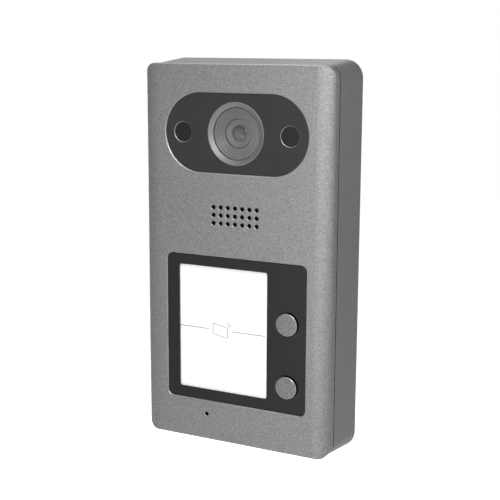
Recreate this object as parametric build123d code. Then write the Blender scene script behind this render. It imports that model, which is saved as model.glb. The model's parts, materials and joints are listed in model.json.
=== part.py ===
from build123d import *
import os

# Door intercom panel, millimetres. Seen from the front: +X right, +Z up, and the front looks towards -Y.
# The wall is the plane y = 0. The origin is the centre of the wall bracket's screw pattern, on the wall.

# ---- driving dimensions -------------------------------------------------------------------------------
DEPTH = 30.0                # wall to front face
FRONT_W, FRONT_H = 100.6, 185.6
BACK_W, BACK_H = 105.0, 190.0
FLARE = (BACK_W - FRONT_W) / 2
CORNER_R = 6.5              # corner of the front outline
LONG_EDGE_W = 8.5           # rounding of the two long front edges, across the face
LONG_EDGE_D = 3.4           # and in depth
RIM_R = 0.7                 # small rounding of the short front edges
CAVITY_RIM_R = 0.3
WALL = 2.5
PANEL_DEPTH = 6.2           # the front panel's side walls
PARTING_GAP = 0.7
SEAL_THICK = 1.0            # wall seal between body and wall

CAMERA_Z = 60.2             # centre of the camera window
WINDOW_W, WINDOW_H = 76.0, 38.0
LED_X, LED_R = 28.5, 4.7
SPEAKER_Z = 21.0
HOLE_PITCH, HOLE_R = 3.87, 1.1
READER_Z = -36.0
READER_W, READER_H = 75.8, 73.4
READER_R = 3.0
CARD_X, CARD_Z = -7.1, -35.9
CARD_W, CARD_H = 48.5, 62.4
BUTTON_X = 28.0
BUTTON_ZS = {"upper": -28.6, "lower": -59.6}
BUTTON_R, BUTTON_HOLE_R = 5.5, 5.9
BUTTON_TRAVEL = 0.8
MIC_X, MIC_Z = -15.7, -79.7
MIC_HOLE_R = 1.0

LENS_RING_R, LENS_MOUTH_R = 15.0, 12.5
BAFFLE_R, BARREL_R, GLASS_R = 12.2, 6.8, 4.0
FLANGE_W, FLANGE_H = 80.0, 42.5             # camera window's flange and its carrier
READER_FLANGE_W, READER_FLANGE_H = 80.5, 78.0
CARD_LAP = 1.8              # how far the name window's stack reaches past the opening, each side
SPEAKER_R = 15.6

# ---- depths, as y of each layer's front and back ---------------------------------------------------------
Y_FRONT = -DEPTH
Y_PANEL_BACK = Y_FRONT + WALL               # back of the front panel's face
Y_PANEL_RIM = Y_FRONT + PANEL_DEPTH         # where its side walls end
Y_BODY_RIM = Y_PANEL_RIM + PARTING_GAP      # where the rear housing begins
Y_PLATE = Y_FRONT + 0.5                     # camera window's surface, a little below the metal
Y_BEZEL = Y_FRONT + 0.45                    # reader bezel's surface
Y_FLANGE = Y_PANEL_BACK + 1.0               # back of the flanges behind the metal
Y_BUTTON_TOP = Y_FRONT - 0.55
Y_READER_BOARD = -22.0
Y_MAIN_BOARD = -17.0
BOARD_T, MAIN_BOARD_T = 1.2, 1.6
Y_MAIN_BACK = Y_MAIN_BOARD + MAIN_BOARD_T
Y_CAMERA_BOARD = -9.5
Y_FLOOR = -5.0                              # inside of the housing's floor
FLOOR_T = 2.0
Y_BODY_BACK = -SEAL_THICK
BRACKET_T = 1.5
THROUGH = 1.0               # how far a cutting tool reaches past the faces that it cuts

# ---- fixing ------------------------------------------------------------------------------------------------
COLUMN_R = 3.5
COLUMN_PLACES = [(x, z) for z in (86.0, 21.0, -83.0) for x in (-42.0, 42.0)]
BOARD_POSTS = [(x, z) for z in (26.0, -76.0) for x in (-33.5, 33.5)]
CAMERA_POSTS = [(x, CAMERA_Z + dz) for x in (-31.0, 31.0) for dz in (-12.0, 12.0)]
READER_POSTS = [(x, READER_Z + dz) for x in (-36.0, 36.0) for dz in (-34.5, 34.5)]
BAY_X, BAY_Z, BAY_W, BAY_H = 0.0, -20.0, 56.0, 26.0
WALL_HOLE_DX, WALL_HOLE_DZ, WALL_HOLE_R = 60.0, 110.0, 2.25
LOCK_Y = -6.5               # axis of the lock screw in the bottom wall
TAMPER_X, TAMPER_Z = -28.0, -45.0
TAMPER_TRAVEL = 1.0
SWITCH_W = 6.2              # the small push switches are square
SWITCH_BORE_R, PLUNGER_R = 1.9, 1.55
BORE_REST = 0.2             # gap left behind a plunger that is fully in


def layer(profile, front, back):
    """A flat drawing, seen from the front, made solid from y = front to y = back."""
    return extrude(Plane.XZ.offset(-back) * profile, amount=back - front)


def at(x, z, profile):
    return Pos(x, z) * profile


def disc(x, z, radius, front, back):
    return layer(at(x, z, Circle(radius)), front, back)


def block(x, z, width, height, front, back, corner=0.0):
    shape = RectangleRounded(width, height, corner) if corner else Rectangle(width, height)
    return layer(at(x, z, shape), front, back)


def ring(x, z, outer, inner, front, back):
    return layer(at(x, z, Circle(outer) - Circle(inner)), front, back)


def turned(x, z, outline):
    """A solid of revolution about the line along Y through (x, z); the outline is (radius, y) points."""
    face = make_face(Polyline(*[(r, y) for r, y in outline], close=True))
    return Pos(x, 0, z) * revolve(face, Axis.Y)


def cut_all(body, tools):
    for tool in tools:
        body = body - tool
    return body


def join_all(body, tools):
    for tool in tools:
        body = body + tool
    return body


def group(solids):
    return Compound(children=list(solids))


def screw(x, z, head_back, length, shank_r=1.45, head_r=2.7, head_t=2.0):
    """A pan-head screw that enters towards the front; head_back is the y of the top of its head."""
    head = disc(x, z, head_r, head_back - head_t, head_back)
    head = fillet(head.edges().filter_by(GeomType.CIRCLE).sort_by(Axis.Y)[-1], 0.5)
    shank = disc(x, z, shank_r, head_back - head_t - length, head_back - head_t)
    slot = Rectangle(head_r * 1.3, 0.7) + Rectangle(0.7, head_r * 1.3)
    return head + shank - layer(at(x, z, slot), head_back - 0.9, head_back + 0.1)


def arched_block(width, height, corner, edge_w, edge_d, rim_r, front, back):
    """A rounded plate whose long front edges are elliptical, and the rest of its rim a little rounded."""
    plate = block(0, 0, width, height, front, back, corner)
    plate = fillet(plate.edges().group_by(Axis.Y)[0], rim_r)
    half = width / 2
    left = EllipticalCenterArc((edge_w - half, front + edge_d), edge_w, edge_d, 180, arc_size=90)
    right = EllipticalCenterArc((half - edge_w, front + edge_d), edge_w, edge_d, 270, arc_size=90)
    face_line = Line(left @ 1, right @ 0)
    back_line = Polyline(right @ 1, (half, back), (-half, back), left @ 0)
    section = make_face([left, face_line, right, back_line])
    tunnel = extrude(Plane.XY.offset(-height / 2) * section, amount=height)
    return plate & tunnel


def drafted_block(width_0, height_0, corner_0, y_0, width_1, height_1, corner_1, y_1):
    """A rounded block whose outline grows evenly from y_0 to y_1."""
    small = Plane.XZ.offset(-y_0) * RectangleRounded(width_0, height_0, corner_0)
    large = Plane.XZ.offset(-y_1) * RectangleRounded(width_1, height_1, corner_1)
    return loft([small, large], ruled=True)


def speaker_holes():
    return [(c * HOLE_PITCH, SPEAKER_Z + r * HOLE_PITCH) for r in (-1, 0, 1) for c in range(-3, 4)]


LARGE_OPENING = 60.0        # a wire longer than this goes round a window, a shorter one round a hole


def inner_edges(body, longer_than=0.0, shorter_than=1000.0):
    """The front edges of the openings in a body's front face, by the length of their outline."""
    face = body.faces().filter_by(Axis.Y).sort_by(Axis.Y)[0]
    wires = [wire for wire in face.inner_wires() if longer_than < wire.length < shorter_than]
    return [edge for wire in wires for edge in wire.edges()]


# ---- shell -----------------------------------------------------------------------------------------------

def make_front_panel():
    tapped_r = 1.25
    body = arched_block(FRONT_W, FRONT_H, CORNER_R, LONG_EDGE_W, LONG_EDGE_D, RIM_R, Y_FRONT, Y_PANEL_RIM)
    body -= arched_block(FRONT_W - 2 * WALL, FRONT_H - 2 * WALL, CORNER_R - WALL, LONG_EDGE_W - WALL,
                         LONG_EDGE_D - WALL, CAVITY_RIM_R, Y_PANEL_BACK, Y_PANEL_RIM + THROUGH)
    for x, z in COLUMN_PLACES:
        body += disc(x, z, COLUMN_R, Y_PANEL_BACK - 0.1, Y_PANEL_RIM)
        body -= disc(x, z, tapped_r, Y_PANEL_BACK + 0.2, Y_PANEL_RIM + THROUGH)
    ahead, behind = Y_FRONT - THROUGH, Y_PANEL_BACK + THROUGH
    openings = [layer(at(0, CAMERA_Z, SlotOverall(WINDOW_W, WINDOW_H)), ahead, behind),
                block(0, READER_Z, READER_W, READER_H, ahead, behind, READER_R),
                disc(MIC_X, MIC_Z, MIC_HOLE_R, ahead, behind)]
    openings += [disc(x, z, HOLE_R, ahead, behind) for x, z in speaker_holes()]
    body = cut_all(body, openings)
    body = chamfer(inner_edges(body, longer_than=LARGE_OPENING), 0.35)
    return chamfer(inner_edges(body, shorter_than=LARGE_OPENING), 0.2)


def rounded_frame(width, height, corner, thick):
    hole = RectangleRounded(width - 2 * thick, height - 2 * thick, corner - thick)
    return RectangleRounded(width, height, corner) - hole


def make_parting_seal():
    inset, width = 0.9, 1.0
    frame = rounded_frame(FRONT_W - 2 * inset, FRONT_H - 2 * inset, CORNER_R - inset, width)
    return layer(frame, Y_PANEL_RIM, Y_BODY_RIM)


def inset_width(y):
    """How much wider the housing is at y than at its rim, on each side."""
    return FLARE * (y - Y_BODY_RIM) / (Y_BODY_BACK - Y_BODY_RIM)


def housing_cavity(front, back):
    a, b = inset_width(front), inset_width(back)
    grow = -2 * WALL
    return drafted_block(FRONT_W + 2 * a + grow, FRONT_H + 2 * a + grow, CORNER_R - WALL + a, front,
                         FRONT_W + 2 * b + grow, FRONT_H + 2 * b + grow, CORNER_R - WALL + b, back)


HOOK_X, HOOK_Z, HOOK_W = 30.0, 70.0, 8.0
TAB_Z, TAB_W, TAB_T = -87.0, 14.0, 1.6
Z_BOTTOM = -BACK_H / 2


def make_rear_housing():
    clearance_r, head_r, pocket_floor, pilot_r = 1.7, 3.1, -7.2, 1.15
    body = drafted_block(FRONT_W, FRONT_H, CORNER_R, Y_BODY_RIM,
                         BACK_W, BACK_H, CORNER_R + FLARE, Y_BODY_BACK)
    rear = body.faces().filter_by(Axis.Y).sort_by(Axis.Y)[-1]
    body = chamfer(rear.outer_wire().edges(), 0.6)
    body -= housing_cavity(Y_BODY_RIM - 0.001, Y_FLOOR)
    body -= housing_cavity(Y_FLOOR + FLOOR_T, Y_BODY_BACK + 0.001)
    columns = [disc(x, z, COLUMN_R, Y_BODY_RIM, Y_FLOOR + 0.5) for x, z in COLUMN_PLACES]
    posts = [disc(x, z, 3.0, Y_MAIN_BACK, Y_FLOOR + 0.5) for x, z in BOARD_POSTS]
    lock_boss = Pos(0, LOCK_Y, Z_BOTTOM + 4.6) * Box(12, 8, 5)
    body = join_all(body, columns + posts + [lock_boss])
    for x, z in COLUMN_PLACES:
        body -= disc(x, z, clearance_r, Y_BODY_RIM - THROUGH, 0)
        body -= disc(x, z, head_r, pocket_floor, 0)
    for x, z in BOARD_POSTS:
        body -= disc(x, z, pilot_r, Y_MAIN_BACK - THROUGH, Y_FLOOR - 2)
    ahead = Y_FLOOR - THROUGH
    body -= block(BAY_X, BAY_Z, BAY_W, BAY_H, ahead, Y_BODY_BACK, 2.0)
    for side in (-1, 1):
        body -= block(side * HOOK_X, HOOK_Z - 2.0, HOOK_W + 1, 6.0, ahead, Y_BODY_BACK)
    body -= block(0, TAB_Z, TAB_W + 1, TAB_T + 1, ahead, Y_BODY_BACK)
    body -= disc(TAMPER_X, TAMPER_Z, 2.2, ahead, Y_BODY_BACK)
    body -= Pos(0, LOCK_Y, Z_BOTTOM + 4) * Cylinder(clearance_r, 10)
    body -= Pos(0, LOCK_Y, Z_BOTTOM + 0.6) * Cylinder(head_r, 4)
    return body


def make_wall_seal():
    inset, width = 0.7, 1.7
    frame = rounded_frame(BACK_W - 2 * inset, BACK_H - 2 * inset, CORNER_R + FLARE - inset, width)
    return layer(frame, Y_BODY_BACK, 0)


def make_wall_bracket():
    """Pressed steel plate with two hooks at the top and a tapped tab at the bottom."""
    front = -BRACKET_T
    ahead, behind = front - THROUGH, THROUGH
    plate = block(0, -1.0, 94.0, 177.0, front, 0, 5.0)
    plate -= block(BAY_X, BAY_Z, BAY_W + 4, BAY_H + 6, ahead, behind, 4.0)
    plate -= block(0, 45.0, 50.0, 26.0, ahead, behind, 8.0)
    plate -= block(0, -66.0, 40.0, 18.0, ahead, behind, 8.0)
    for x in (-WALL_HOLE_DX / 2, WALL_HOLE_DX / 2):
        for z in (-WALL_HOLE_DZ / 2, 0, WALL_HOLE_DZ / 2):
            plate -= disc(x, z, WALL_HOLE_R, ahead, behind)
    hook_front, hook_back = Y_FLOOR - 1.6, Y_FLOOR - 0.3
    for side in (-1, 1):
        leg = block(side * HOOK_X, HOOK_Z, HOOK_W, BRACKET_T, hook_front, front)
        lip = block(side * HOOK_X, HOOK_Z + 1.5, HOOK_W, 4.5, hook_front, hook_back)
        plate += leg + lip
    plate += block(0, TAB_Z, TAB_W, TAB_T, LOCK_Y - 4, front)
    return plate - Pos(0, LOCK_Y, TAB_Z) * Cylinder(1.25, 6)


def make_lock_screw():
    head = Pos(0, LOCK_Y, Z_BOTTOM + 1.5) * Cylinder(2.8, 2.0)
    shank = Pos(0, LOCK_Y, Z_BOTTOM + 6.5) * Cylinder(1.2, 8.0)
    socket = Pos(0, LOCK_Y, Z_BOTTOM + 1.0) * extrude(RegularPolygon(1.2, 6), amount=0.8, both=True)
    return head + shank - socket


def make_housing_screws():
    return group(screw(x, z, -5.2, 19.8, shank_r=1.2) for x, z in COLUMN_PLACES)


# ---- camera ----------------------------------------------------------------------------------------------

def make_camera_window():
    plate = layer(at(0, CAMERA_Z, SlotOverall(WINDOW_W - 0.3, WINDOW_H - 0.3)), Y_PLATE, Y_PANEL_BACK + 0.01)
    plate = fillet(plate.edges().group_by(Axis.Y)[0], 0.2)
    plate += layer(at(0, CAMERA_Z, SlotOverall(FLANGE_W, FLANGE_H)), Y_PANEL_BACK + 0.01, Y_FLANGE)
    for x, radius in ((0, LENS_RING_R), (-LED_X, LED_R), (LED_X, LED_R)):
        plate -= disc(x, CAMERA_Z, radius + 0.05, Y_PLATE - THROUGH, Y_FLANGE + THROUGH)
    return chamfer(inner_edges(plate, shorter_than=LARGE_OPENING), 0.25)


def make_ir_window(side):
    lens = disc(side * LED_X, CAMERA_Z, LED_R, Y_PLATE + 0.35, Y_FLANGE)
    lens = fillet(lens.edges().group_by(Axis.Y)[0], 0.25)
    return lens + disc(side * LED_X, CAMERA_Z, 5.6, Y_FLANGE, Y_FLANGE + 0.5)


def make_lens_bezel():
    front, mouth, back = Y_PLATE - 0.1, Y_PLATE + 1.15, Y_PANEL_BACK + 1.9
    bore_r = LENS_MOUTH_R + 0.05
    outline = [(LENS_RING_R, front + 0.15), (LENS_RING_R - 0.15, front), (LENS_RING_R - 0.45, front),
               (LENS_MOUTH_R, mouth), (LENS_MOUTH_R, mouth + 0.1), (bore_r, mouth + 0.1), (bore_r, back),
               (LENS_RING_R, back)]
    return turned(0, CAMERA_Z, outline)


def make_lens_cover_glass():
    front = Y_PLATE + 1.25
    return disc(0, CAMERA_Z, LENS_MOUTH_R, front, front + 0.5)


def make_lens_baffle():
    """Funnel with concentric anti-glare ribs, from its wide front down to the lens barrel."""
    ribs, front, deep, back = 4, -27.7, -26.2, -24.6
    rim_r, bore_r = BAFFLE_R - 0.4, BARREL_R + 0.3
    step = (rim_r - bore_r) / ribs
    drop = (deep - front) / ribs
    outline = [(bore_r, back), (BAFFLE_R, back), (BAFFLE_R, front), (rim_r, front)]
    for i in range(ribs):
        r, y = rim_r - i * step, front + i * drop
        outline += [(r - step * 0.45, y + drop * 1.25), (r - step, y + drop)]
    return turned(0, CAMERA_Z, outline)


def make_lens_barrel():
    front, collar, back = -26.3, -22.0, -13.6
    thread_r, bore_r = 6.0, 3.2
    outline = [(bore_r, back), (thread_r, back), (thread_r, collar), (BARREL_R, collar),
               (BARREL_R, front + 0.2), (BARREL_R - 0.2, front), (BARREL_R - 0.7, front),
               (GLASS_R + 0.2, front + 0.9), (GLASS_R, front + 0.9), (GLASS_R, front + 2.6),
               (bore_r, front + 2.6)]
    return turned(0, CAMERA_Z, outline)


def lens_element(radius, front, thick, bulge):
    """A disc with a domed front."""
    dome = (radius ** 2 + bulge ** 2) / (2 * bulge)
    rim = disc(0, CAMERA_Z, radius, front, front + bulge + thick)
    ball = Pos(0, front + dome, CAMERA_Z) * Sphere(dome)
    return rim & ball


def make_lens_front_element():
    return lens_element(GLASS_R - 0.05, -25.9, 1.0, 1.1)


def make_lens_rear_element():
    return lens_element(3.15, -16.0, 0.8, 0.6)


def make_lens_mount():
    body = block(0, CAMERA_Z, 15, 15, -19.5, Y_CAMERA_BOARD, 1.5)
    body += block(0, CAMERA_Z, 24, 6, -11.5, Y_CAMERA_BOARD, 2.9)
    body -= disc(0, CAMERA_Z, 6.05, -20, -13.0)
    return body - block(0, CAMERA_Z, 10, 10, -13.1, Y_CAMERA_BOARD + 1)


def make_camera_carrier():
    """Frame behind the window that holds the bezel and carries both boards on four posts."""
    front = Y_FLANGE
    plate = layer(at(0, CAMERA_Z, SlotOverall(FLANGE_W, FLANGE_H)), front, front + 1.4)
    plate -= disc(0, CAMERA_Z, LENS_RING_R + 0.05, front - 1, front + 3)
    for side in (-1, 1):
        plate -= disc(side * LED_X, CAMERA_Z, 5.65, front - 1, front + 3)
    for x, z in CAMERA_POSTS:
        plate += disc(x, z, 2.6, front + 0.5, Y_CAMERA_BOARD)
        plate -= disc(x, z, 0.9, Y_CAMERA_BOARD - 7, Y_CAMERA_BOARD + 1)
    return plate


def make_light_board():
    board = block(0, CAMERA_Z, 70, 30, -24.4, -23.4, 4)
    board -= disc(0, CAMERA_Z, 12.0, -25, -23)
    return cut_all(board, [disc(x, z, 2.75, -25, -23) for x, z in CAMERA_POSTS])


def make_ir_leds():
    leds = []
    for side in (-1, 1):
        body = block(side * LED_X, CAMERA_Z, 3.5, 3.5, -25.3, -24.4, 0.4)
        leds.append(body + lens_dome(side * LED_X, CAMERA_Z, 0.6, -25.3))
    return group(leds)


def lens_dome(x, z, radius, y):
    ball = Pos(x, y, z) * Sphere(radius)
    return ball & block(x, z, 4, 4, y - 2, y + 0.01)


def make_camera_board():
    board = block(0, CAMERA_Z, 72, 34, Y_CAMERA_BOARD, Y_CAMERA_BOARD + BOARD_T, 3)
    return cut_all(board, [disc(x, z, 1.1, -10, -8) for x, z in CAMERA_POSTS])


def make_image_sensor():
    return block(0, CAMERA_Z, 8.0, 7.0, Y_CAMERA_BOARD - 1.0, Y_CAMERA_BOARD, 0.3)


def make_ir_cut_filter():
    return block(0, CAMERA_Z, 9.0, 9.0, -13.0, -12.5)


def make_camera_screws():
    back = Y_CAMERA_BOARD + BOARD_T
    return group(screw(x, z, back + 1.3, 5.0, shank_r=0.85, head_r=1.9, head_t=1.3) for x, z in CAMERA_POSTS)


def make_camera_flat_cable():
    """Flat cable from the camera board down to the main board."""
    y_top, y_low = Y_CAMERA_BOARD + BOARD_T + 0.4, Y_MAIN_BACK + 0.4
    path = FilletPolyline((y_top, 50), (y_top, 37), (y_low, 33), (y_low, 22), radius=1.6)
    strip = Plane.YZ.offset(-6) * make_face(offset(path, 0.15, kind=Kind.INTERSECTION, side=Side.BOTH))
    return extrude(strip, amount=12)


# ---- sound -----------------------------------------------------------------------------------------------

def make_speaker_mesh():
    return block(0, SPEAKER_Z, 27.4, 11.5, Y_PANEL_BACK, Y_PANEL_BACK + 0.3, 3)


def make_speaker_gasket():
    return ring(0, SPEAKER_Z, SPEAKER_R, SPEAKER_R - 1.0, Y_PANEL_BACK, Y_PANEL_BACK + 1.3)


def make_speaker_frame():
    y = Y_PANEL_BACK + 1.3
    outline = [(14.2, y), (SPEAKER_R, y), (SPEAKER_R, y + 1.4), (10.5, y + 4.6), (9.4, y + 4.6),
               (9.4, y + 3.4), (9.9, y + 3.4), (14.2, y + 0.8)]
    return turned(0, SPEAKER_Z, outline)


def make_speaker_cone():
    y = Y_PANEL_BACK + 1.5
    outline = [(0, y + 1.6), (4.5, y + 2.3), (13.9, y), (13.9, y + 0.3), (4.5, y + 2.7), (0, y + 2.0)]
    return turned(0, SPEAKER_Z, outline)


def make_speaker_magnet():
    y = Y_PANEL_BACK + 4.8
    return disc(0, SPEAKER_Z, 9.3, y, y + 4.2)


MIC_R, MIC_FRONT, MIC_BACK = 3.0, -25.5, -23.2


def make_microphone_boot():
    boot = disc(MIC_X, MIC_Z, 4.4, Y_PANEL_BACK, MIC_BACK + 0.6)
    boot -= disc(MIC_X, MIC_Z, MIC_HOLE_R, Y_PANEL_BACK - THROUGH, MIC_FRONT + 0.5)
    return boot - disc(MIC_X, MIC_Z, MIC_R + 0.05, MIC_FRONT - 0.1, MIC_BACK + THROUGH)


def make_microphone():
    return disc(MIC_X, MIC_Z, MIC_R, MIC_FRONT, MIC_BACK)


# ---- reader and buttons ----------------------------------------------------------------------------------

def make_reader_bezel():
    y_rebate = Y_PLATE + 1.0
    plate = block(0, READER_Z, READER_W - 0.3, READER_H - 0.3, Y_BEZEL, Y_PANEL_BACK + 0.01, READER_R - 0.15)
    plate = fillet(plate.edges().group_by(Axis.Y)[0], 0.2)
    plate += block(0, READER_Z, READER_FLANGE_W, READER_FLANGE_H, Y_PANEL_BACK + 0.01, Y_FLANGE, 4)
    for x, z in READER_POSTS:
        plate += disc(x, z, 2.4, Y_FLANGE - 0.5, Y_READER_BOARD)
        plate -= disc(x, z, 0.8, Y_READER_BOARD - 3, Y_READER_BOARD + 1)
    ahead, behind = Y_BEZEL - THROUGH, Y_FLANGE + THROUGH
    rebate = 2 * CARD_LAP + 0.2
    plate -= block(CARD_X, CARD_Z, CARD_W, CARD_H, ahead, behind, 1.3)
    plate -= block(CARD_X, CARD_Z, CARD_W + rebate, CARD_H + rebate, y_rebate, behind, 2.5)
    for z in BUTTON_ZS.values():
        plate -= disc(BUTTON_X, z, BUTTON_HOLE_R, ahead, behind)
    plate = chamfer(inner_edges(plate, shorter_than=LARGE_OPENING), 0.4)
    return chamfer(inner_edges(plate, longer_than=LARGE_OPENING), 0.25)


BEHIND_CARD = (CARD_W + 3.4, CARD_H + 3.4)      # width and height of the sheet and the light guide


def make_nameplate_window():
    y_step = Y_PLATE + 1.0
    plate = block(CARD_X, CARD_Z, CARD_W - 0.2, CARD_H - 0.2, Y_BEZEL + 0.15, y_step, 1.2)
    plate = fillet(plate.edges().group_by(Axis.Y)[0], 0.15)
    lap = 2 * CARD_LAP
    return plate + block(CARD_X, CARD_Z, CARD_W + lap, CARD_H + lap, y_step, y_step + 0.8, 2.4)


def make_nameplate_insert():
    y = Y_PLATE + 1.8
    return block(CARD_X, CARD_Z, *BEHIND_CARD, y, y + 0.2, 2.3)


def make_light_diffuser():
    return block(CARD_X, CARD_Z, *BEHIND_CARD, -27.4, -24.6, 2.3)


def make_backlight_leds():
    places = [(CARD_X + dx, CARD_Z + dz) for dx in (-14, 14) for dz in (-20, 0, 20)]
    return group(block(x, z, 3.5, 2.8, Y_READER_BOARD - 1.9, Y_READER_BOARD, 0.3) for x, z in places)


def make_reader_board():
    board = block(0, READER_Z, 78, 75, Y_READER_BOARD, Y_READER_BOARD + BOARD_T, 3)
    return cut_all(board, [disc(x, z, 1.0, -23, -20) for x, z in READER_POSTS])


def make_antenna_coil():
    """Printed turns of the card reader's antenna, round the light guide."""
    turns = []
    for i in range(4):
        width, height = 55.8 - 2.6 * i, 62.0 - 2.6 * i
        outer = RectangleRounded(width, height, 3)
        hole = RectangleRounded(width - 1.2, height - 1.2, 2.4)
        turns.append(layer(at(CARD_X - 2.0, CARD_Z, outer - hole), Y_READER_BOARD - 0.1, Y_READER_BOARD))
    return group(turns)


def make_reader_screws():
    back = Y_READER_BOARD + BOARD_T
    return group(screw(x, z, back + 1.2, 3.6, shank_r=0.75, head_r=1.8, head_t=1.2) for x, z in READER_POSTS)


PLUNGER_FRONT, PLUNGER_BACK = -25.1, -23.7


def make_call_button(name):
    """Metal cap with a wide foot that keeps it behind the bezel, and a short push stem."""
    z = BUTTON_ZS[name]
    foot, foot_t = Y_FLANGE + 0.2, 0.8
    cap = disc(BUTTON_X, z, BUTTON_R, Y_BUTTON_TOP, foot)
    cap = fillet(cap.edges().group_by(Axis.Y)[0], 0.45)
    cap += disc(BUTTON_X, z, 6.9, foot, foot + foot_t)
    return cap + disc(BUTTON_X, z, 1.8, foot + foot_t, PLUNGER_FRONT - 0.1)


def make_button_boot(name):
    """Silicone skirt between the cap's foot and the reader board; it folds as the cap goes in."""
    z = BUTTON_ZS[name]
    front = Y_FLANGE + 1.0
    outline = [(5.6, front), (6.4, front), (7.6, -22.6), (8.6, -22.6), (8.6, Y_READER_BOARD),
               (7.0, Y_READER_BOARD)]
    return turned(BUTTON_X, z, outline)


def make_tact_switch(name):
    z = BUTTON_ZS[name]
    body = block(BUTTON_X, z, SWITCH_W, SWITCH_W, -24.3, Y_READER_BOARD, 0.5)
    return body - disc(BUTTON_X, z, SWITCH_BORE_R, PLUNGER_FRONT, PLUNGER_BACK + BUTTON_TRAVEL + BORE_REST)


def make_tact_plunger(name):
    return disc(BUTTON_X, BUTTON_ZS[name], PLUNGER_R, PLUNGER_FRONT, PLUNGER_BACK)


# ---- electronics -----------------------------------------------------------------------------------------

def make_main_board():
    board = block(0, -25.0, 75, 112, Y_MAIN_BOARD, Y_MAIN_BACK, 2)
    return cut_all(board, [disc(x, z, 1.6, -18, -15) for x, z in BOARD_POSTS])


def make_board_screws():
    """Screws that enter from the front side of the main board into the housing's posts."""
    solids = []
    for x, z in BOARD_POSTS:
        head = disc(x, z, 2.7, Y_MAIN_BOARD - 1.8, Y_MAIN_BOARD)
        shank = disc(x, z, 1.1, Y_MAIN_BOARD, Y_MAIN_BACK + 6)
        slot = layer(at(x, z, Rectangle(3.4, 0.7) + Rectangle(0.7, 3.4)), Y_MAIN_BOARD - 2, Y_MAIN_BOARD - 1)
        solids.append(head + shank - slot)
    return group(solids)


def make_board_header():
    return block(-10.0, -66.0, 26, 5, Y_READER_BOARD + BOARD_T, Y_MAIN_BOARD, 0.4)


def make_shield_can():
    can = block(14.0, 8.0, 26, 24, Y_MAIN_BACK, Y_MAIN_BACK + 2.6, 1.0)
    return fillet(can.edges().group_by(Axis.Y)[-1], 0.5)


JACK_X, JACK_W, JACK_H, JACK_BACK = -16.0, 16.0, 14.0, -3.4


def make_ethernet_jack():
    """Shielded network socket that opens towards the wall, with the latch notch on its lower side."""
    body = block(JACK_X, BAY_Z, JACK_W, JACK_H, Y_MAIN_BACK, JACK_BACK, 0.5)
    body -= block(JACK_X, BAY_Z + 0.6, 11.9, 7.4, JACK_BACK - 10.5, 0)
    body -= block(JACK_X, BAY_Z - 4.0, 6.2, 2.4, JACK_BACK - 10.5, 0)
    return body


def terminal_places():
    return [(-0.5 + 3.5 * i, BAY_Z) for i in range(8)]


def make_terminal_block():
    back = -5.4
    middle, height = 11.75, 9.0
    body = block(middle, BAY_Z, 28.6, height, Y_MAIN_BACK, back)
    body -= Pos(middle, back, BAY_Z + height / 2) * Rot(45, 0, 0) * Box(30, 1.6, 1.6)
    for x, z in terminal_places():
        body -= disc(x, z, 1.4, back - 2.0, back + 1)
        body -= Pos(x, back - 6.0, BAY_Z - 4.0) * Box(2.4, 2.8, 4.0)
    return body


def make_terminal_screws():
    solids = []
    for x, z in terminal_places():
        head = disc(x, z, 1.3, -7.4, -6.2)
        solids.append(head - block(x, z, 2.8, 0.5, -6.7, -6.0))
    return group(solids)


def make_lock_relay():
    case = block(20.0, -48.0, 19, 15.5, Y_MAIN_BACK, -5.6, 0.6)
    return fillet(case.edges().group_by(Axis.Y)[-1], 0.4)


def make_capacitors():
    cans = []
    for x, z, r, tall in ((-6.0, -48.0, 4.0, 8.8), (4.0, -48.0, 3.15, 7.2), (-22.0, 12.0, 4.0, 8.8)):
        can = disc(x, z, r, Y_MAIN_BACK, Y_MAIN_BACK + tall)
        cans.append(fillet(can.edges().group_by(Axis.Y)[-1], 0.5))
    return group(cans)


TAMPER_FRONT = -11.0        # inner end of the tamper switch's plunger


def make_tamper_switch():
    back = -8.4
    bore_floor = TAMPER_FRONT - TAMPER_TRAVEL - 2 * BORE_REST
    body = block(TAMPER_X, TAMPER_Z, SWITCH_W, SWITCH_W, Y_MAIN_BACK, back, 0.5)
    return body - disc(TAMPER_X, TAMPER_Z, SWITCH_BORE_R, bore_floor, back + THROUGH)


def make_tamper_plunger():
    stem = disc(TAMPER_X, TAMPER_Z, PLUNGER_R, TAMPER_FRONT, -BRACKET_T - 0.1)
    return fillet(stem.edges().group_by(Axis.Y)[-1], 0.5)


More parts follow.
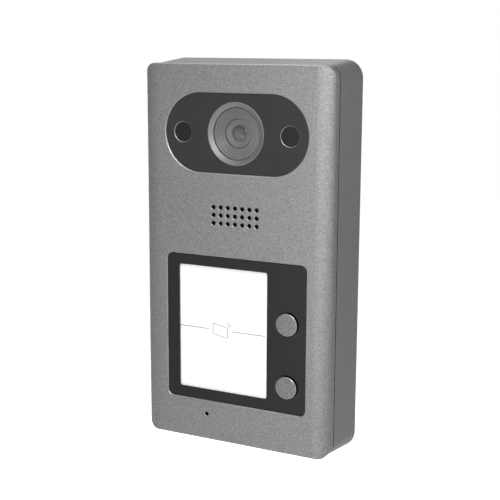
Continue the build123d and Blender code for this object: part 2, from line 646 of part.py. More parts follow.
PIECES = {
    "front_panel": make_front_panel,
    "parting_seal": make_parting_seal,
    "rear_housing": make_rear_housing,
    "housing_screws": make_housing_screws,
    "wall_bracket": make_wall_bracket,
    "wall_seal": make_wall_seal,
    "lock_screw": make_lock_screw,
    "camera_window": make_camera_window,
    "ir_window_left": lambda: make_ir_window(-1),
    "ir_window_right": lambda: make_ir_window(1),
    "lens_bezel": make_lens_bezel,
    "lens_cover_glass": make_lens_cover_glass,
    "lens_baffle": make_lens_baffle,
    "lens_barrel": make_lens_barrel,
    "lens_front_element": make_lens_front_element,
    "lens_rear_element": make_lens_rear_element,
    "lens_mount": make_lens_mount,
    "ir_cut_filter": make_ir_cut_filter,
    "image_sensor": make_image_sensor,
    "camera_board": make_camera_board,
    "camera_carrier": make_camera_carrier,
    "camera_screws": make_camera_screws,
    "camera_flat_cable": make_camera_flat_cable,
    "light_board": make_light_board,
    "ir_leds": make_ir_leds,
    "speaker_mesh": make_speaker_mesh,
    "speaker_gasket": make_speaker_gasket,
    "speaker_frame": make_speaker_frame,
    "speaker_cone": make_speaker_cone,
    "speaker_magnet": make_speaker_magnet,
    "microphone": make_microphone,
    "microphone_boot": make_microphone_boot,
    "reader_bezel": make_reader_bezel,
    "nameplate_window": make_nameplate_window,
    "nameplate_insert": make_nameplate_insert,
    "light_diffuser": make_light_diffuser,
    "backlight_leds": make_backlight_leds,
    "reader_board": make_reader_board,
    "antenna_coil": make_antenna_coil,
    "reader_screws": make_reader_screws,
    "main_board": make_main_board,
    "board_screws": make_board_screws,
    "board_header": make_board_header,
    "shield_can": make_shield_can,
    "ethernet_jack": make_ethernet_jack,
    "terminal_block": make_terminal_block,
    "terminal_screws": make_terminal_screws,
    "lock_relay": make_lock_relay,
    "capacitors": make_capacitors,
    "tamper_switch": make_tamper_switch,
    "tamper_plunger": make_tamper_plunger,
}
for place in BUTTON_ZS:
    PIECES["call_button_" + place] = lambda place=place: make_call_button(place)
    PIECES["button_boot_" + place] = lambda place=place: make_button_boot(place)
    PIECES["tact_switch_" + place] = lambda place=place: make_tact_switch(place)
    PIECES["tact_plunger_" + place] = lambda place=place: make_tact_plunger(place)

os.makedirs("parts", exist_ok=True)
for name, make in PIECES.items():
    export_step(make(), "parts/" + name + ".step")
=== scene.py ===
import json
import math

import bmesh
import bpy
from mathutils import Matrix, Vector


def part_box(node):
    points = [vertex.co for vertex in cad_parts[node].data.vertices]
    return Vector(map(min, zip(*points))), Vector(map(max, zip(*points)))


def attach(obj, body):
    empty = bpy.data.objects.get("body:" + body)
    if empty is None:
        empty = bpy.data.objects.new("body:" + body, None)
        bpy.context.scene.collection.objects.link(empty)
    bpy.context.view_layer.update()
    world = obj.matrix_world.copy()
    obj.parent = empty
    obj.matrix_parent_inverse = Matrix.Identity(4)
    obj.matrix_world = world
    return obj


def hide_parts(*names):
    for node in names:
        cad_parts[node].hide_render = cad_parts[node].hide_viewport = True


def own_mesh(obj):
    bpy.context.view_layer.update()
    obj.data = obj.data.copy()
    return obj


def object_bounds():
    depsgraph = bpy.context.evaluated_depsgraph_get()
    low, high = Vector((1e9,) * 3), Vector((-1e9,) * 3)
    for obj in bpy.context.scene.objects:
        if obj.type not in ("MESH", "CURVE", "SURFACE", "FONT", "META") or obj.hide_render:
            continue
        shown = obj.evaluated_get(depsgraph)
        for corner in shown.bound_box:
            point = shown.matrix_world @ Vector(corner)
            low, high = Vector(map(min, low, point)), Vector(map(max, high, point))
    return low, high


# A door intercom panel: looks for every CAD piece, finer lens, print, button and socket details, and a
# small studio. Metres, in the row frame: +X right, +Z up, the front looks towards -Y, the wall is at y = 0.

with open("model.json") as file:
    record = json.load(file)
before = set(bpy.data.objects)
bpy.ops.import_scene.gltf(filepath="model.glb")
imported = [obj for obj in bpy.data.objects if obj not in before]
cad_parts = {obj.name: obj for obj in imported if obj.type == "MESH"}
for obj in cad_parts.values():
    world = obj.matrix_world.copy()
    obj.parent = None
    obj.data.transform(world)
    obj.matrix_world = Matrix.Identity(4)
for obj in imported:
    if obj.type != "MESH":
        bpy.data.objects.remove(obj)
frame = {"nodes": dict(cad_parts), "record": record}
cad_low, cad_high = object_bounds()
MM = 0.001


def low(node):
    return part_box(node)[0]


def high(node):
    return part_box(node)[1]


def centre(node):
    return (low(node) + high(node)) / 2


# ---- materials -----------------------------------------------------------------------------------------


class Look:
    """A procedural material: one Principled shader and the pattern nodes that feed it."""

    def __init__(self, name, **plain):
        self.material = bpy.data.materials.new(name)
        self.material.use_nodes = True
        self.nodes = self.material.node_tree.nodes
        self.links = self.material.node_tree.links
        self.shader = self.nodes["Principled BSDF"]
        self.place = self.nodes.new("ShaderNodeTexCoord").outputs["Object"]
        for socket, value in plain.items():
            self.give(self.shader.inputs[socket.replace("_", " ")], value)

    def give(self, socket, value):
        if isinstance(value, bpy.types.NodeSocket):
            self.links.new(value, socket)
        elif isinstance(value, tuple) and len(value) == 3 and socket.type == "RGBA":
            socket.default_value = (*value, 1)
        else:
            socket.default_value = value

    def node(self, kind, inputs, **settings):
        made = self.nodes.new("ShaderNode" + kind)
        for name, value in settings.items():
            setattr(made, name, value)
        for name, value in inputs.items():
            self.give(made.inputs[name], value)
        return made

    def stretched(self, factors):
        return self.node("Mapping", {"Vector": self.place, "Scale": factors}).outputs["Vector"]

    def noise(self, size, detail=2.0, stretch=(1, 1, 1)):
        """Smooth noise whose spots are about size metres wide, from 0 to 1."""
        inputs = {"Vector": self.stretched(stretch), "Scale": 1 / size, "Detail": detail}
        return self.node("TexNoise", inputs).outputs["Fac"]

    def cells(self, size):
        """A random value for each cell about size metres wide, from 0 to 1."""
        made = self.node("TexVoronoi", {"Vector": self.place, "Scale": 1 / size})
        return self.node("SeparateColor", {"Color": made.outputs["Color"]}).outputs["Red"]

    def maths(self, operation, *values):
        return self.node("Math", dict(enumerate(values)), operation=operation).outputs["Value"]

    def spread(self, value, start, end, least=0.0, most=1.0):
        """value from 0..1 moved to start..end, where least and most are its ends before."""
        inputs = {"Value": value, "From Min": least, "From Max": most, "To Min": start, "To Max": end}
        return self.node("MapRange", inputs).outputs["Result"]

    def blend(self, share, first, second):
        """A colour between two colours."""
        made = self.nodes.new("ShaderNodeMix")
        made.data_type = "RGBA"
        share_socket, first_socket, second_socket = made.inputs[0], made.inputs[6], made.inputs[7]
        self.give(share_socket, share)
        self.give(first_socket, first)
        self.give(second_socket, second)
        colour_socket = made.outputs[2]
        return colour_socket

    def colour(self, value):
        self.give(self.shader.inputs["Base Color"], value)

    def roughness(self, value):
        self.give(self.shader.inputs["Roughness"], value)

    def bump(self, height, depth, normal=None):
        """Raises the surface by up to depth metres where height is 1."""
        inputs = {"Height": height, "Distance": depth, "Strength": 1.0}
        if normal is not None:
            inputs["Normal"] = normal
        made = self.node("Bump", inputs).outputs["Normal"]
        self.give(self.shader.inputs["Normal"], made)
        return made


def scaled(colour, factor):
    return tuple(c * factor for c in colour)


def metallic_paint(name, colour, roughness=0.42, speckle=0.26, peel=0.015 * MM):
    """Powder paint with metal flakes: speckled at half a millimetre, faintly clouded over centimetres."""
    flake_size, grain_size, cloud_size = 0.42 * MM, 0.7 * MM, 30 * MM
    flake_part, cloud_strength, flake_height = 0.55, 0.12, 0.35
    look = Look(name, Metallic=0.55)
    flakes = look.cells(flake_size)
    grain = look.noise(grain_size, 3)
    clouds = look.noise(cloud_size, 2)
    flake_share = look.maths("MULTIPLY", flakes, flake_part)
    mixed = look.maths("ADD", flake_share, look.maths("MULTIPLY", grain, 1 - flake_part))
    share = look.spread(mixed, 0, 1, 0.2, 0.8)
    speckled = look.blend(share, scaled(colour, 1 - speckle), scaled(colour, 1 + speckle))
    look.colour(look.blend(look.spread(clouds, 0.0, cloud_strength), speckled, scaled(colour, 0.7)))
    look.roughness(look.spread(grain, roughness - 0.06, roughness + 0.08))
    coarse = look.bump(grain, peel)
    look.bump(flakes, peel * flake_height, coarse)
    return look


def moulded(name, colour, roughness=0.5, grain_size=0.0006, depth=0.000008, **plain):
    """Moulded plastic with a fine spark-eroded grain and faint flow marks."""
    look = Look(name, **plain)
    grain = look.noise(grain_size, 3)
    flow = look.noise(20 * MM, 2, (1, 1, 0.3))
    share = look.spread(flow, 0, 1, 0.3, 0.7)
    look.colour(look.blend(share, scaled(colour, 0.92), scaled(colour, 1.08)))
    look.roughness(look.spread(grain, roughness - 0.05, roughness + 0.07))
    look.bump(grain, depth)
    return look


def polished(name, colour, roughness=0.08, **plain):
    """Clear-polished plastic: a few faint smears, and the slight waviness of a moulded sheet."""
    look = Look(name, **plain)
    smears = look.noise(12 * MM, 4, (1, 1, 0.5))
    waves = look.noise(30 * MM, 1)
    look.colour(look.blend(smears, scaled(colour, 0.9), scaled(colour, 1.1)))
    look.roughness(look.spread(smears, roughness * 0.8, roughness * 1.5))
    look.bump(waves, 0.00002)
    return look


def rubber(name, colour, roughness=0.75):
    """Moulded rubber: fine matt grain and a faint grey bloom."""
    look = Look(name)
    grain = look.noise(0.4 * MM, 4)
    bloom = look.noise(6 * MM, 3)
    look.colour(look.blend(look.spread(bloom, 0, 1, 0.3, 0.8), colour, scaled(colour, 1.6)))
    look.roughness(look.spread(grain, roughness - 0.08, roughness + 0.1))
    look.bump(grain, 0.00001)
    return look


def plated(name, colour, roughness=0.3, stretch=(1, 1, 1), grain_size=0.0005):
    """Rolled or plated metal: drawn grain along one way and a faint tarnish."""
    look = Look(name, Metallic=1.0)
    grain = look.noise(grain_size, 3, stretch)
    tarnish = look.noise(8 * MM, 3)
    look.colour(look.blend(look.spread(tarnish, 0, 1, 0.35, 0.75), colour, scaled(colour, 0.72)))
    look.roughness(look.spread(grain, roughness - 0.08, roughness + 0.12))
    look.bump(grain, 0.000005)
    return look


def galvanised(name, colour):
    """Zinc spangle: flat crystals some millimetres wide, each a little lighter or darker."""
    look = Look(name, Metallic=1.0)
    spangle = look.cells(4 * MM)
    grain = look.noise(0.6 * MM, 3)
    look.colour(look.blend(spangle, scaled(colour, 0.82), scaled(colour, 1.12)))
    look.roughness(look.spread(look.maths("ADD", spangle, grain), 0.28, 0.52, 0, 2))
    look.bump(look.maths("ADD", look.maths("MULTIPLY", spangle, 0.3), grain), 0.000008)
    return look


def solder_mask(name, colour):
    """Circuit board: lacquer over copper tracks, which show as slightly raised, lighter lines."""
    look = Look(name, Coat_Weight=0.3)
    grid = {"Vector": look.place, "Scale": 160.0, "Mortar Size": 0.035}
    grid.update({"Color1": (1, 1, 1), "Color2": (0.8, 0.8, 0.8), "Mortar": (0, 0, 0)})
    tracks = look.node("TexBrick", grid).outputs["Fac"]
    weave = look.noise(0.9 * MM, 2)
    board = look.blend(weave, scaled(colour, 0.85), colour)
    look.colour(look.blend(tracks, board, scaled(colour, 2.2)))
    look.roughness(look.spread(weave, 0.28, 0.42))
    look.bump(tracks, 0.00002)
    return look


def pane(name, tint, shine=0.03):
    """Thin clear sheet: what is behind shows straight through, under the shine and smears of its surface.
    It reflects a share head_on of the light that meets it straight, and more as the light grazes it."""
    head_on, falloff = 0.04, 5.0
    look = Look(name)
    smears = look.noise(9 * MM, 4)
    clear = look.node("BsdfTransparent", {"Color": tint})
    facing = look.node("LayerWeight", {"Blend": 0.5}).outputs["Facing"]
    share = look.maths("MULTIPLY_ADD", look.maths("POWER", facing, falloff), 1 - head_on, head_on)
    roughness = look.spread(smears, shine * 0.7, shine * 1.6)
    gloss = look.node("BsdfGlossy", {"Color": (1.0, 1.0, 1.0), "Roughness": roughness})
    film = look.node("MixShader", {0: share, 1: clear.outputs["BSDF"], 2: gloss.outputs["BSDF"]})
    look.links.new(film.outputs["Shader"], look.nodes["Material Output"].inputs["Surface"])
    return look


def glowing_sheet(name, colour, strength, node, rim=4 * MM):
    """White translucent film that glows by its own emission, standing in for the window's backlight. The
    glow is painted brighter within rim metres of its edges, which fills in the shade the bezel casts there.
    """
    look = Look(name, Roughness=0.6)
    middle = centre(node)
    half = (high(node) - low(node)) / 2
    parts = look.node("SeparateXYZ", {"Vector": look.place}).outputs
    inward = []
    for axis, place, reach in (("X", middle.x, half.x), ("Z", middle.z, half.z)):
        away = look.maths("ABSOLUTE", look.maths("SUBTRACT", parts[axis], place))
        inward.append(look.maths("SUBTRACT", reach, away))
    share = look.spread(look.maths("MINIMUM", *inward), 0, 1, 0, rim)
    fibre = look.noise(1.5 * MM, 3)
    look.colour(look.blend(fibre, scaled(colour, 0.97), colour))
    # painted light: the glow rises to one and a half times its colour at the edges to cancel the bezel's
    # shade on the film
    look.give(look.shader.inputs["Emission Color"], look.blend(share, scaled(colour, 1.5), colour))
    look.give(look.shader.inputs["Emission Strength"], strength)
    return look


def woven(name, colour, pitch=0.4 * MM):
    """Fine acoustic mesh: two crossed sets of threads."""
    look = Look(name, Sheen_Weight=0.3)
    turn = 6.283                                # phase of one whole wave
    bands = {"Vector": look.place, "Scale": 1 / pitch / turn}
    threads = []
    for direction in ("X", "Z"):
        threads.append(look.node("TexWave", bands, bands_direction=direction).outputs["Fac"])
    cloth = look.maths("MAXIMUM", *threads)
    look.colour(look.blend(cloth, scaled(colour, 0.3), scaled(colour, 1.6)))
    look.roughness(look.spread(cloth, 0.9, 0.7))
    look.bump(cloth, 0.06 * MM)
    return look


def cone_card(name, colour):
    """Pressed paper of a speaker cone: short fibres, mostly one way."""
    look = Look(name)
    fibres = look.noise(0.7 * MM, 5, (1, 1, 0.3))
    look.colour(look.blend(fibres, scaled(colour, 0.7), scaled(colour, 1.4)))
    look.roughness(look.spread(fibres, 0.75, 0.9))
    look.bump(fibres, 0.03 * MM)
    return look


CAST_GREY = (0.30, 0.30, 0.305)
looks = {
    "cast_metal": metallic_paint("cast_metal", CAST_GREY),
    "black_rubber": rubber("black_rubber", (0.012, 0.012, 0.012)),
    "dark_gloss": polished("dark_gloss", (0.032, 0.032, 0.032), roughness=0.12),
    "ir_acrylic": polished("ir_acrylic", (0.018, 0.018, 0.019), roughness=0.2, IOR=1.35),
    "bezel_grey": metallic_paint("bezel_grey", (0.22, 0.22, 0.22), 0.5, speckle=0.05, peel=0.003 * MM),
    "black_plastic": moulded("black_plastic", (0.03, 0.03, 0.03)),
    "lens_grey": moulded("lens_grey", (0.165, 0.16, 0.16), roughness=0.4, grain_size=0.3 * MM),
    "clear_glass": pane("clear_glass", (0.97, 0.965, 0.965)),
    "filter_glass": pane("filter_glass", (0.75, 0.93, 0.9)),
    "bezel_plastic": moulded("bezel_plastic", (0.017, 0.0165, 0.019), roughness=0.45, IOR=1.38),
    "clear_acrylic": pane("clear_acrylic", (0.98, 0.98, 0.98), shine=0.08),
    "printed_sheet": glowing_sheet("printed_sheet", (0.95, 0.95, 0.95), 0.29, "nameplate_window"),
    "milky_acrylic": moulded("milky_acrylic", (0.8, 0.81, 0.81), roughness=0.35, Subsurface_Weight=0.3),
    "button_metal": metallic_paint("button_metal", (0.235, 0.235, 0.24), roughness=0.36, speckle=0.34),
    "circuit_board": solder_mask("circuit_board", (0.012, 0.07, 0.03)),
    "copper_track": plated("copper_track", (0.7, 0.38, 0.2), roughness=0.35),
    "led_resin": polished("led_resin", (0.75, 0.68, 0.4), roughness=0.15, Coat_Weight=0.4),
    "sensor": polished("sensor", (0.03, 0.03, 0.05), roughness=0.1, Coat_Weight=1.0),
    "flat_cable": moulded("flat_cable", (0.6, 0.6, 0.56), roughness=0.4),
    "screw_steel": plated("screw_steel", (0.56, 0.56, 0.57), roughness=0.28),
    "mesh_cloth": woven("mesh_cloth", (0.012, 0.012, 0.012)),
    "cone_paper": cone_card("cone_paper", (0.05, 0.05, 0.05)),
    "plated_metal": plated("plated_metal", (0.62, 0.61, 0.59), roughness=0.3, stretch=(1, 8, 1)),
    "switch_black": moulded("switch_black", (0.02, 0.02, 0.02), roughness=0.4),
    "plunger_white": moulded("plunger_white", (0.7, 0.7, 0.66), roughness=0.4),
    "terminal_green": moulded("terminal_green", (0.02, 0.2, 0.06), roughness=0.38),
    "relay_case": moulded("relay_case", (0.02, 0.06, 0.25), roughness=0.32),
    "capacitor_sleeve": plated("capacitor_sleeve", (0.65, 0.65, 0.67), roughness=0.22),
    "bracket_steel": galvanised("bracket_steel", (0.62, 0.62, 0.61)),
}

# Looks that no slot names: for some faces of a part, for the rear housing, or for pieces that only look.
looks.update({
    "machined_edge": plated("machined_edge", (0.55, 0.55, 0.55), roughness=0.55, grain_size=0.3 * MM),
    # painted shade: a near-black look for the walls of the small holes, where the inside of a hole falls in
    # shade
    "painted_shade_bore": plated("painted_shade_bore", (0.05, 0.05, 0.05), roughness=0.3, grain_size=0.3 * MM),
    # painted highlight: a lighter paint on the dark camera window's chamfers, so their thin rings read
    # bright all round
    "painted_highlight_chamfer": metallic_paint("painted_highlight_chamfer", (0.34, 0.34, 0.34), 0.4, speckle=0.1, peel=0.002 * MM),
    # painted highlight: a lighter paint on the buttons' rounded rims, added on top of the light their bevels
    # catch
    "button_rim_highlight": metallic_paint("button_rim_highlight", (0.42, 0.42, 0.42), 0.3, speckle=0.1, peel=0.002 * MM),
    # painted shade and painted reflection: a near-black look for the buttons' side walls, standing in for
    # their shade and the dark bezel they reflect
    "button_side_shade": plated("button_side_shade", (0.05, 0.05, 0.05), roughness=0.4),
    # painted highlight: a lighter grey on the chamfers of the reader bezel's openings, standing in for the
    # light they catch
    "bezel_edge_highlight": moulded("bezel_edge_highlight", (0.075, 0.075, 0.078), roughness=0.4),
    # painted highlight: a brighter paint along the front panel's top rim, standing in for the light that
    # edge catches
    "painted_highlight_rim": metallic_paint("painted_highlight_rim", (0.5, 0.5, 0.5), roughness=0.36, speckle=0.2),
    "rear_cast": metallic_paint("rear_cast", scaled(CAST_GREY, 0.96), speckle=0.14, peel=0.008 * MM),
    "grey_ink": moulded("grey_ink", (0.4, 0.4, 0.4), roughness=0.7),
    "gold_contact": plated("gold_contact", (0.83, 0.62, 0.28), roughness=0.22),
})

slot_of = {entry["node"]: entry["material_slot"] for entry in frame["record"]["subparts"]}


def dress(piece, look_name):
    piece.data.materials.clear()
    piece.data.materials.append(looks[look_name].material)


for node, piece in frame["nodes"].items():
    dress(piece, "rear_cast" if node == "rear_housing" else slot_of[node])


def dress_where(node, look_name, wanted):
    """Gives another look to those faces of a part for which wanted(depth, normal, corners) holds. The depth
    is how far the face's deepest corner lies behind the part's front."""
    piece = frame["nodes"][node]
    piece.data.materials.append(looks[look_name].material)
    index = len(piece.data.materials) - 1
    front = low(node).y
    for face in piece.data.polygons:
        corners = [piece.data.vertices[i].co for i in face.vertices]
        if wanted(max(corner.y for corner in corners) - front, face.normal, corners):
            face.material_index = index


def dress_bevels(node, look_name, shallow, deep, reach):
    """Gives a second look to the bevels of a part's openings, which end between two depths below its front.
    The openings lie within a share reach of its width and height."""
    half_width = (high(node).x - low(node).x) / 2 * reach
    half_height = (high(node).z - low(node).z) / 2 * reach
    middle = centre(node)

    def is_bevel(depth, normal, corners):
        offsets = [c - middle for c in corners]
        inside = all(abs(d.x) < half_width and abs(d.z) < half_height for d in offsets)
        return shallow < depth < deep and inside and 0.2 < abs(normal.y) < 0.95

    dress_where(node, look_name, is_bevel)


def dress_bores(node, look_name, behind):
    """Gives a darker look to the walls of the small holes in front of another part: painted shade, so the
    inside of each hole reads dark.
    """
    start, end = low(behind), high(behind)

    def is_bore(depth, normal, corners):
        near = all(start.x < c.x < end.x and start.z < c.z < end.z for c in corners)
        return near and abs(normal.y) < 0.2

    dress_where(node, look_name, is_bore)


rim_bottom = high("front_panel").z - 1.0 * MM


def is_top_rim(depth, normal, corners):
    return normal.z > 0.3 and normal.y < -0.2 and corners[0].z > rim_bottom


def parting_shade_faces(depth, normal, corners):
    return depth < 0.05 * MM and normal.y < -0.9


def is_button_rim(depth, normal, corners):
    return depth < 0.6 * MM and -0.97 < normal.y < -0.3


def is_button_side(depth, normal, corners):
    return abs(normal.y) <= 0.3


dress_bevels("front_panel", "machined_edge", 0.25 * MM, 0.4 * MM, reach=0.85)
dress_bevels("front_panel", "machined_edge", 0.1 * MM, 0.25 * MM, reach=0.93)
dress_bores("front_panel", "painted_shade_bore", "speaker_mesh")
dress_bores("front_panel", "painted_shade_bore", "microphone_boot")
# painted highlight on the camera window's chamfers
dress_bevels("camera_window", "painted_highlight_chamfer", 0.15 * MM, 0.3 * MM, reach=0.9)
dress_bevels("reader_bezel", "bezel_edge_highlight", 0.3 * MM, 0.45 * MM, reach=0.9)
# painted highlight along the front panel's top rim
dress_where("front_panel", "painted_highlight_rim", is_top_rim)
# painted shade: the housing's front rim faces in the parting gap take the black rubber look, so the gap
# reads as a dark line
dress_where("rear_housing", "black_rubber", parting_shade_faces)
for place in ("upper", "lower"):
    dress_where("call_button_" + place, "button_rim_highlight", is_button_rim)
    dress_where("call_button_" + place, "button_side_shade", is_button_side)


# ---- mesh tools ----------------------------------------------------------------------------------------


def new_piece(name, mesh_data, look_name, body):
    piece = bpy.data.objects.new(name, mesh_data)
    bpy.context.scene.collection.objects.link(piece)
    piece.data.materials.append(looks[look_name].material)
    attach(piece, body)
    return piece


def strip(mesh, points, width, thickness, front, closed=False):
    """Adds a flat printed line of that width along (x, z) points, its face at y = front."""
    count = len(points)
    rows = []
    for i, point in enumerate(points):
        before = points[i - 1] if closed or i else point
        after = points[(i + 1) % count] if closed or i < count - 1 else point
        along = (Vector(after) - Vector(before)).normalized()
        side = Vector((-along.y, along.x)) * width / 2
        row = []
        for sign, y in ((1, front), (-1, front), (-1, front + thickness), (1, front + thickness)):
            x, z = Vector(point) + side * sign
            row.append(mesh.verts.new((x, y, z)))
        rows.append(row)
    pairs = list(zip(rows, rows[1:] + rows[:1])) if closed else list(zip(rows, rows[1:]))
    for a, b in pairs:
        for k in range(4):
            mesh.faces.new((a[k], a[(k + 1) % 4], b[(k + 1) % 4], b[k]))
    if not closed:
        mesh.faces.new(rows[0][::-1])
        mesh.faces.new(rows[-1])


def arc_points(x, z, radius, start, end, steps=12):
    angles = [math.radians(start + (end - start) * i / steps) for i in range(steps + 1)]
    return [(x + radius * math.cos(a), z + radius * math.sin(a)) for a in angles]


def rounded_outline(corners, radius, steps=5):
    """A closed line through the corners, each corner rounded by a short curve."""
    points = []
    count = len(corners)
    for i, corner in enumerate(corners):
        here = Vector(corner)
        toward = [(Vector(corners[j % count]) - here).normalized() * radius for j in (i - 1, i + 1)]
        start, end = here + toward[0], here + toward[1]
        for k in range(steps + 1):
            t = k / steps
            points.append(tuple(start * (1 - t) ** 2 + here * 2 * t * (1 - t) + end * t ** 2))
    return points


def finished(mesh, name):
    bmesh.ops.recalc_face_normals(mesh, faces=mesh.faces)
    data = bpy.data.meshes.new(name)
    mesh.to_mesh(data)
    mesh.free()
    return data


# ---- print on the name sheet ---------------------------------------------------------------------------

INK_WIDTH = 0.44 * MM
INK_DEPTH = 0.02 * MM
sheet = centre("nameplate_window")


def make_print():
    """Thin divider lines and a plain card-and-waves sign, printed on the back of the window."""
    mesh = bmesh.new()
    front = low("nameplate_insert").y - 2 * INK_DEPTH
    half_width = (high("nameplate_window").x - low("nameplate_window").x) / 2
    line_z = sheet.z - 0.4 * MM
    for start, end in ((1.55 * MM - half_width, -8.4 * MM), (4.2 * MM, half_width - 3.4 * MM)):
        strip(mesh, [(sheet.x + start, line_z), (sheet.x + end, line_z)], INK_WIDTH, INK_DEPTH, front)
    corners = [(-6.1, 2.8), (2.0, 1.1), (2.0, -4.2), (-6.1, -2.5)]
    card = [(sheet.x + x * MM, sheet.z + z * MM) for x, z in corners]
    strip(mesh, rounded_outline(card, 0.9 * MM), INK_WIDTH, INK_DEPTH, front, closed=True)
    for radius in (2.6 * MM, 3.7 * MM):
        wave = arc_points(sheet.x + 0.5 * MM, sheet.z + 0.4 * MM, radius, 15, 75)
        strip(mesh, wave, INK_WIDTH, INK_DEPTH, front)
    new_piece("sheet_print", finished(mesh, "sheet_print"), "grey_ink", "panel")


make_print()

# ---- finer parts behind the glass, in the socket and under the buttons ---------------------------------


def turned_mesh(x, z, outline, steps=96):
    """A closed ring: (radius, y) points turned about the line along Y through (x, z)."""
    mesh = bmesh.new()
    rows = []
    for i in range(steps):
        angle = 2 * math.pi * i / steps
        across, upward = math.cos(angle), math.sin(angle)
        rows.append([mesh.verts.new((x + r * across, y, z + r * upward)) for r, y in outline])
    count = len(outline)
    for a, b in zip(rows, rows[1:] + rows[:1]):
        for k in range(count):
            mesh.faces.new((a[k], a[(k + 1) % count], b[(k + 1) % count], b[k]))
    return mesh


def make_lens_stop():
    """Stepped aperture ring inside the barrel, behind the front element."""
    lens = centre("lens_barrel")
    front = high("lens_front_element").y + 0.2 * MM
    outline = [(3.1, 0.0), (2.4, 0.35), (2.35, 0.6), (1.6, 0.8), (1.55, 1.1), (0.9, 1.25), (0.9, 1.45)]
    outline.append((3.1, 1.45))
    points = [(r * MM, front + y * MM) for r, y in outline]
    ring = finished(turned_mesh(lens.x, lens.z, points), "lens_stop")
    new_piece("lens_stop", ring, "lens_grey", "panel")


def add_bar(mesh, x, width, thick, path):
    """A flat bar of that width centred on x, along (y, z) points."""
    rows = []
    for i, point in enumerate(path):
        before, after = Vector(path[max(i - 1, 0)]), Vector(path[min(i + 1, len(path) - 1)])
        along = (after - before).normalized()
        side = Vector((-along.y, along.x)) * thick / 2
        corners = []
        for across, sign in ((-1, -1), (1, -1), (1, 1), (-1, 1)):
            y, z = Vector(point) + side * sign
            corners.append(mesh.verts.new((x + across * width / 2, y, z)))
        rows.append(corners)
    for a, b in zip(rows, rows[1:]):
        for k in range(4):
            mesh.faces.new((a[k], a[(k + 1) % 4], b[(k + 1) % 4], b[k]))
    mesh.faces.new(rows[0][::-1])
    mesh.faces.new(rows[-1])


def make_jack_contacts():
    """Eight sprung gold contacts that slope down into the network socket."""
    count, pitch, width, thick = 8, 1.02 * MM, 0.42 * MM, 0.25 * MM
    jack, mouth = centre("ethernet_jack"), high("ethernet_jack").y
    roof = jack.z + 4.1 * MM
    steps = [(1.6, 0.0), (2.4, 0.9), (3.4, 1.6), (8.8, 4.2), (10.2, 4.6)]      # inward and down, in mm
    path = [(mouth - inward * MM, roof - down * MM) for inward, down in steps]
    mesh = bmesh.new()
    for i in range(count):
        add_bar(mesh, jack.x + (i - (count - 1) / 2) * pitch, width, thick, path)
    contacts = finished(mesh, "jack_contacts")
    new_piece("jack_contacts", contacts, "gold_contact", "panel")


def make_button_skirt(place):
    """Thin silicone skirt between a button's foot and the reader board, made as one fixed turned ring in
    place of the button boot, which is hidden.
    """
    boot, joint = "button_boot_" + place, place + "_button_press"
    front, height = low(boot).y, high(boot).y - low(boot).y
    outer = [(5.6, 0.0), (6.4, 0.0), (6.6, 0.25), (7.0, 0.5), (7.35, 0.72), (7.7, 0.84), (8.5, 0.84)]
    inner = [(8.6, 0.88), (8.6, 1.0), (7.0, 1.0), (6.9, 0.85), (6.5, 0.6), (6.1, 0.3)]
    points = [(r * MM, front + share * height) for r, share in outer + inner]
    middle = centre(boot)
    name = "button_skirt_" + place
    ring = finished(turned_mesh(middle.x, middle.z, points), name)
    skirt = new_piece(name, ring, "black_rubber", "panel")
    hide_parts(boot)
    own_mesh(skirt)


make_lens_stop()
make_jack_contacts()
make_button_skirt("upper")
make_button_skirt("lower")

# ---- studio --------------------------------------------------------------------------------------------

CAMERA_PLACE = (0.2423, -0.4799, 0.1022)
CAMERA_TURN = (27.48, 10.77, 0.257)             # azimuth, elevation and roll in degrees, fitted to the photo
CAMERA_LENS = 78.32                             # mm, on a 36 mm sensor
LIGHTS = (                                      # azimuth, elevation, distance, width, height, watts
    ("front_high", 35, 40, 0.4, 0.2, 0.2, 1.26),
    ("front_low", 3, -6, 0.5, 0.1, 0.4, 0.17),
    ("lens_glint", 0, 8.9, 0.5, 0.04, 0.04, 0.08),
    ("front_left", -8, -6, 0.5, 0.1, 0.4, 0.30),
    ("front_right", 25, 8, 0.35, 0.2, 0.35, 0.14),
    ("top", -10, 80, 0.8, 0.8, 0.5, 2.40),
    ("rear_left", -150, 35, 0.9, 0.6, 0.6, 1.00),
    ("left_fill", -125, 4, 0.9, 0.5, 0.5, 3.00),
    ("rear", 180, 12, 0.9, 0.8, 0.3, 0.60),
)

scene = bpy.context.scene
scene.view_settings.view_transform = "Standard"


def bearing(azimuth, elevation):
    """Unit vector from the panel in a direction given in degrees; azimuth 0 is straight in front of it."""
    a, e = math.radians(azimuth), math.radians(elevation)
    return Vector((math.sin(a) * math.cos(e), -math.cos(a) * math.cos(e), math.sin(e)))


def make_camera():
    data = bpy.data.cameras.new("camera")
    data.lens = CAMERA_LENS
    data.sensor_width = 36.0
    data.clip_start = 0.01
    piece = bpy.data.objects.new("camera", data)
    scene.collection.objects.link(piece)
    azimuth, elevation, tilt = CAMERA_TURN
    back, roll = bearing(azimuth, elevation), math.radians(tilt)
    right = (-back).cross(Vector((0, 0, 1))).normalized()
    up = right.cross(-back)
    across = right * math.cos(roll) + up * math.sin(roll)
    upward = up * math.cos(roll) - right * math.sin(roll)
    turn = Matrix((across, upward, back)).transposed().to_4x4()
    piece.matrix_world = Matrix.Translation(CAMERA_PLACE) @ turn
    scene.camera = piece


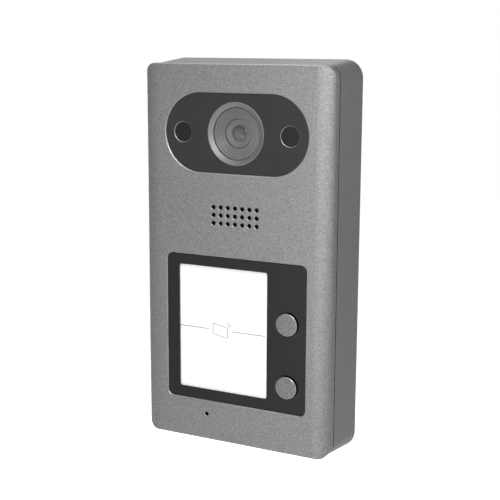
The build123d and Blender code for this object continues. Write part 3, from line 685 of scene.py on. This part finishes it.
def soft_light(name, azimuth, elevation, distance, width, height, watts):
    """A rectangular soft light that faces the panel, placed by its direction as seen from the panel."""
    data = bpy.data.lights.new(name, "AREA")
    data.shape = "RECTANGLE"
    data.size, data.size_y = width, height
    data.energy = watts
    piece = bpy.data.objects.new(name, data)
    scene.collection.objects.link(piece)
    back = bearing(azimuth, elevation)
    piece.location = (cad_low + cad_high) / 2 + back * distance
    piece.rotation_euler = (-back).to_track_quat("-Z", "Y").to_euler()


def make_world(strength, backdrop):
    world = bpy.data.worlds.new("studio")
    world.use_nodes = True
    nodes, links = world.node_tree.nodes, world.node_tree.links
    fill = nodes["Background"]
    fill.inputs["Color"].default_value = (1, 1, 1, 1)
    fill.inputs["Strength"].default_value = strength
    seen = nodes.new("ShaderNodeBackground")
    seen.inputs["Color"].default_value = (1, 1, 1, 1)
    seen.inputs["Strength"].default_value = backdrop
    path = nodes.new("ShaderNodeLightPath")
    mixed = nodes.new("ShaderNodeMixShader")
    links.new(path.outputs["Is Camera Ray"], mixed.inputs[0])
    links.new(fill.outputs["Background"], mixed.inputs[1])
    links.new(seen.outputs["Background"], mixed.inputs[2])
    links.new(mixed.outputs["Shader"], nodes["World Output"].inputs["Surface"])
    scene.world = world


def make_floor():
    """A wide pale floor a little below the panel, which hangs clear of it as on a wall."""
    half, drop, seen_glow, cast_glow = 20.0, 0.25, 1.0, 0.316
    mesh = bmesh.new()
    bmesh.ops.create_grid(mesh, x_segments=8, y_segments=8, size=half)
    floor = bpy.data.objects.new("floor", finished(mesh, "floor"))
    scene.collection.objects.link(floor)
    floor.location.z = cad_low.z - drop
    look = Look("pale_floor", Roughness=0.9)
    cloud = look.noise(0.4, 2)
    look.colour(look.blend(cloud, (0.93, 0.93, 0.93), (0.95, 0.95, 0.95)))
    look.give(look.shader.inputs["Emission Color"], (1, 1, 1))
    seen = look.node("LightPath", {}).outputs["Is Camera Ray"]
    look.give(look.shader.inputs["Emission Strength"], look.spread(seen, cast_glow, seen_glow))
    floor.data.materials.append(look.material)


make_camera()
make_world(0.02, 1.0)
for light in LIGHTS:
    soft_light(*light)
make_floor()
